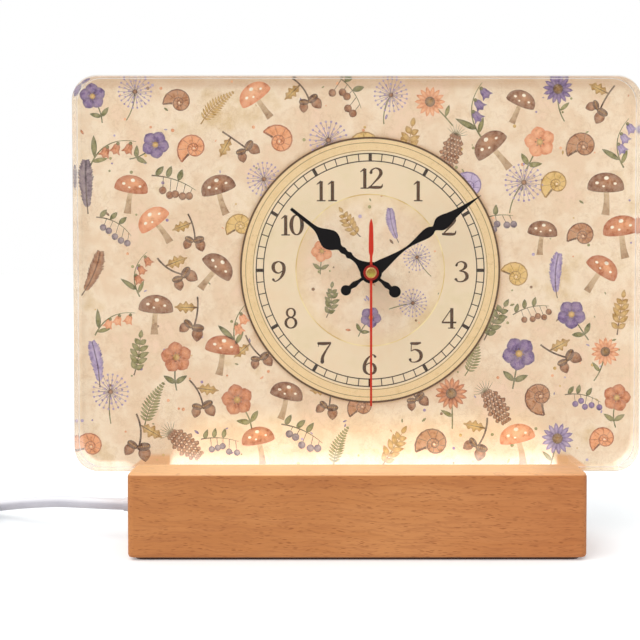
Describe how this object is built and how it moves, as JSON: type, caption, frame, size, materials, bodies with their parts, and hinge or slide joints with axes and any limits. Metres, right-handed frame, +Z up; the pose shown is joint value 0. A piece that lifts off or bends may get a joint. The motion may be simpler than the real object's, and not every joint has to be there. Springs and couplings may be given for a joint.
{
  "type": "table clock",
  "caption": "Table clock: a printed clear block with a rear quartz movement and hands stands in a beech base that lights it from below by a USB cable.",
  "frame": {"origin": "middle of the wooden base's length and depth, on the surface it stands on, at the underside of the anti-slip pad", "axes": "+Z up; +X to the right as the dial is read, along the base; +Y away from the viewer, so the dial faces -Y"},
  "size_m": [0.3212, 0.0812, 0.1602],
  "materials": {
    "beech": "fine-grained beech with short dark flecks, clear satin lacquer",
    "pad_rubber": "matt black anti-slip sheet",
    "black_plastic": "moulded black plastic with a fine texture",
    "steel": "nickel-plated steel",
    "light_board": "white solder mask with warm light chips",
    "cable_white": "smooth pale grey-white cable jacket",
    "acrylic": "clear polished acrylic with flame-polished edges",
    "print": "printed film: mottled parchment ground, small botanical motifs and dial rings",
    "foam": "white foam tape",
    "train_plastic": "unfilled white acetal",
    "copper": "wound enamelled copper wire",
    "green_board": "green solder mask",
    "battery_sleeve": "plain satin sleeve over a steel can, no markings",
    "magnet": "dull dark grey magnet",
    "brass": "turned brass",
    "hand_black": "satin black lacquer on thin stamped metal",
    "hand_red": "satin red lacquer on thin stamped metal"
  },
  "bodies": {
    "base": {"wood_base": "beech", "anti_slip_pad": "pad_rubber", "cover_plate": "black_plastic", "cover_screw_1": "steel", "cover_screw_2": "steel", "cover_screw_3": "steel", "cover_screw_4": "steel", "led_board": "light_board", "board_screw_1": "steel", "board_screw_2": "steel", "cable_sleeve": "cable_white", "inner_lead": "cable_white", "usb_cable": "cable_white", "usb_cable_coil": "cable_white", "usb_plug_body": "cable_white", "usb_plug_shell": "steel", "usb_plug_tongue": "train_plastic"},
    "clock_block": {"acrylic_block": "acrylic", "printed_film": "print", "adhesive_foam": "foam", "movement_case": "black_plastic", "rear_cover": "black_plastic", "train_bridge": "train_plastic", "stator": "steel", "coil_core": "steel", "motor_coil": "copper", "circuit_board": "green_board", "chip_blob": "black_plastic", "quartz_crystal": "steel", "battery_positive_contact": "steel", "battery_negative_contact": "steel"},
    "battery": {"aa_battery": "battery_sleeve"},
    "seconds": {"seconds_wheel": "train_plastic", "second_hand": "hand_red", "centre_cap": "brass"},
    "minutes": {"minute_wheel": "brass", "minute_hand": "hand_black"},
    "hours": {"hour_wheel": "brass", "hour_hand": "hand_black"},
    "third": {"third_wheel": "train_plastic"},
    "step": {"step_wheel": "train_plastic"},
    "motor_rotor": {"rotor": "magnet"},
    "motion": {"motion_wheel": "train_plastic"},
    "knob": {"setting_knob": "black_plastic"}
  },
  "joints": [
    {"name": "block_lift", "type": "slide", "parent": "base", "child": "clock_block", "axis": [0, 0, 1], "range_m": [0, 0.04]},
    {"name": "battery_slide", "type": "slide", "parent": "clock_block", "child": "battery", "axis": [0, 1, 0], "range_m": [0, 0.03]},
    {"name": "seconds_turn", "type": "hinge", "parent": "clock_block", "child": "seconds", "pos_m": [0.0047, 0, 0.09372], "axis": [0, 1, 0], "continuous": true},
    {"name": "minutes_turn", "type": "hinge", "parent": "clock_block", "child": "minutes", "pos_m": [0.0047, 0, 0.09372], "axis": [0, 1, 0], "continuous": true},
    {"name": "hours_turn", "type": "hinge", "parent": "clock_block", "child": "hours", "pos_m": [0.0047, 0, 0.09372], "axis": [0, 1, 0], "continuous": true},
    {"name": "third_turn", "type": "hinge", "parent": "clock_block", "child": "third", "pos_m": [0.01126, 0, 0.10153], "axis": [0, 1, 0], "continuous": true},
    {"name": "step_turn", "type": "hinge", "parent": "clock_block", "child": "step", "pos_m": [-0.00185, 0, 0.0975], "axis": [0, 1, 0], "continuous": true},
    {"name": "rotor_turn", "type": "hinge", "parent": "clock_block", "child": "motor_rotor", "pos_m": [-0.00509, 0, 0.10311], "axis": [0, 1, 0], "continuous": true},
    {"name": "motion_turn", "type": "hinge", "parent": "clock_block", "child": "motion", "pos_m": [-0.0043, 0, 0.09372], "axis": [0, 1, 0], "continuous": true},
    {"name": "knob_turn", "type": "hinge", "parent": "clock_block", "child": "knob", "pos_m": [-0.01285, 0, 0.09372], "axis": [0, 1, 0], "continuous": true}
  ],
  "couplings": [
    {"joint": "minutes_turn", "follows": "seconds_turn", "ratio": 0.016667},
    {"joint": "hours_turn", "follows": "seconds_turn", "ratio": 0.0013889},
    {"joint": "third_turn", "follows": "seconds_turn", "ratio": -0.13333},
    {"joint": "step_turn", "follows": "seconds_turn", "ratio": -6},
    {"joint": "rotor_turn", "follows": "seconds_turn", "ratio": 30},
    {"joint": "motion_turn", "follows": "seconds_turn", "ratio": -0.0055556},
    {"joint": "knob_turn", "follows": "seconds_turn", "ratio": 0.020833}
  ]
}
